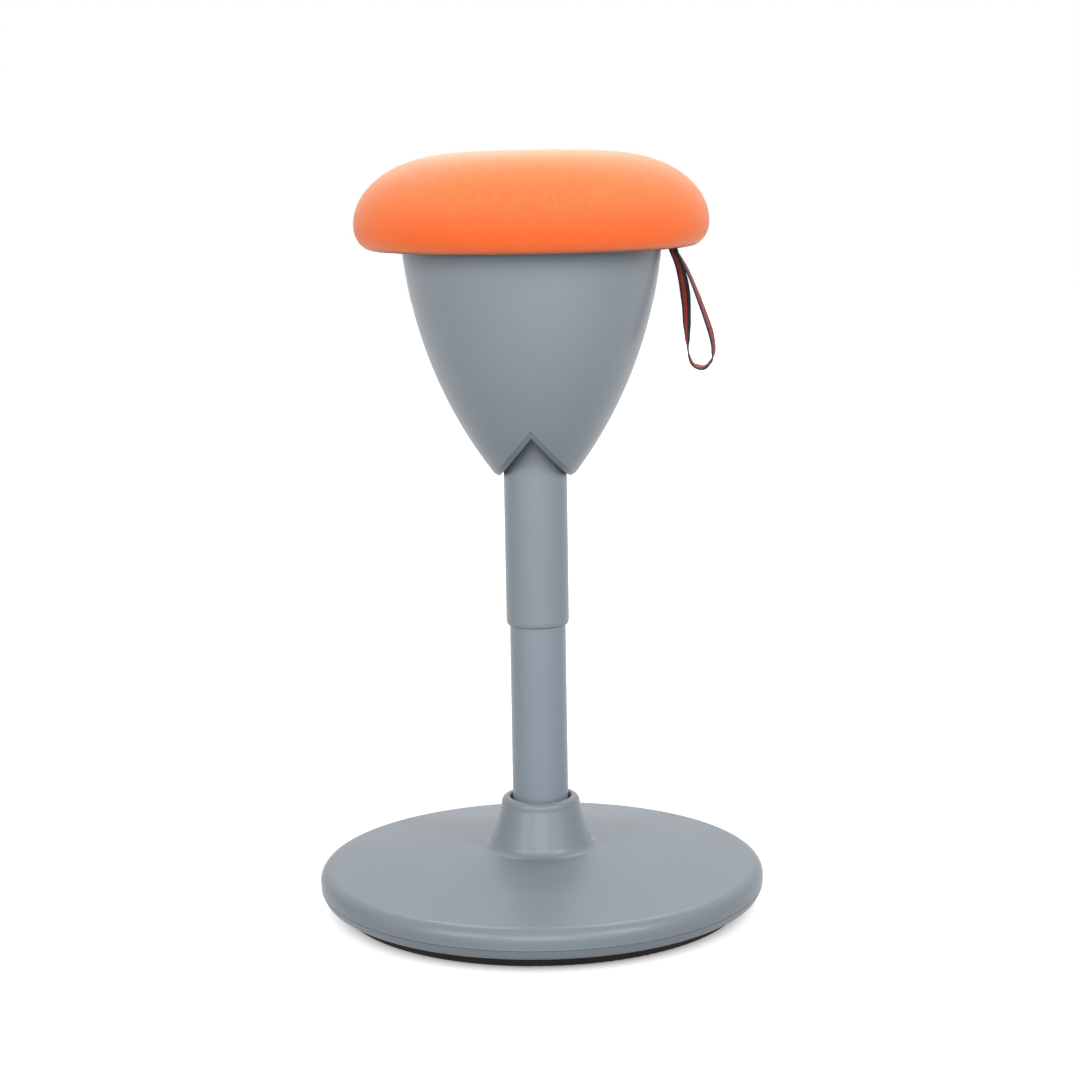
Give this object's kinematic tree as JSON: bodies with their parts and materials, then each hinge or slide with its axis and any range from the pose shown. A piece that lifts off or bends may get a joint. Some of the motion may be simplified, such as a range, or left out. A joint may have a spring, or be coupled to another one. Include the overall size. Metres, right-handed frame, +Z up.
{
  "type": "sit-stand stool",
  "caption": "Sit-stand stool with a round padded seat, tulip shroud over a telescopic gas column, pull-strap height release and a weighted round rocking foot.",
  "frame": {"origin": "centre of the sole's flat contact face on the floor, under the column axis", "axes": "+Z up along the column, +X towards the pull strap, with the notch of the shroud facing -Y and +Y"},
  "size_m": [0.4, 0.4, 0.675],
  "materials": {
    "grey_plastic": "fine satin moulded grey",
    "grey_paint": "smooth satin grey powder coat",
    "black_rubber": "matt black",
    "dark_steel": "black coated steel",
    "bright_steel": "zinc plated",
    "nylon": "natural nylon",
    "plywood": "black-stained birch ply",
    "foam": "cut polyurethane foam",
    "orange_fabric": "tight orange stretch upholstery",
    "webbing": "woven red webbing with dark edges"
  },
  "bodies": {
    "base": {"base_cover": "grey_plastic", "base_pan": "grey_plastic", "base_screws": "dark_steel", "rubber_sole": "black_rubber", "ballast_plate": "dark_steel", "column_socket": "dark_steel", "socket_bolts": "bright_steel", "column_tube": "grey_paint", "guide_bush": "nylon", "bearing_washer_lower": "bright_steel", "bearing_rollers": "bright_steel", "bearing_cage": "nylon"},
    "rod": {"piston_rod": "bright_steel", "rod_clip": "bright_steel", "bump_stop": "black_rubber", "piston": "bright_steel", "piston_seal": "black_rubber", "bearing_washer_upper": "bright_steel"},
    "seat": {"gas_cylinder": "dark_steel", "cylinder_gland": "nylon", "upper_sleeve": "grey_plastic", "sleeve_clip": "bright_steel", "taper_socket": "dark_steel", "seat_plate": "dark_steel", "plate_bolts": "bright_steel", "tee_nuts": "bright_steel", "crank_bracket": "dark_steel", "pivot_pin": "bright_steel", "shroud": "grey_plastic", "seat_board": "plywood", "seat_foam": "foam", "seat_cover": "orange_fabric"},
    "crank": {"release_crank": "bright_steel", "strap_pin": "bright_steel"},
    "valve": {"valve_pin": "bright_steel"},
    "tail": {"strap_tail": "webbing"},
    "strap": {"strap_loop": "webbing"}
  },
  "joints": [
    {"name": "seat_swivel", "type": "hinge", "parent": "base", "child": "rod", "pos_m": [0, 0, 0.03], "axis": [0, 0, 1], "continuous": true},
    {"name": "seat_height", "type": "slide", "parent": "rod", "child": "seat", "axis": [0, 0, 1], "range_m": [-0.145, 0.055]},
    {"name": "release_crank", "type": "hinge", "parent": "seat", "child": "crank", "pos_m": [-0.012, 0, 0.5585], "axis": [0, 1, 0], "range_deg": [0, 14.4], "stiffness_Nm_per_rad": 4, "springref_deg": -6.88},
    {"name": "valve_press", "type": "slide", "parent": "seat", "child": "valve", "axis": [0, 0, -1], "range_m": [0, 0.0031]},
    {"name": "tail_draw", "type": "slide", "parent": "seat", "child": "tail", "axis": [1, 0, 0], "range_m": [0, 0.0098]},
    {"name": "strap_pull", "type": "slide", "parent": "seat", "child": "strap", "axis": [0, 0, -1], "range_m": [0, 0.0098]}
  ],
  "couplings": [
    {"joint": "valve_press", "follows": "release_crank", "m_per_rad": 0.012},
    {"joint": "tail_draw", "follows": "release_crank", "m_per_rad": 0.0386},
    {"joint": "strap_pull", "follows": "release_crank", "m_per_rad": 0.0386}
  ]
}
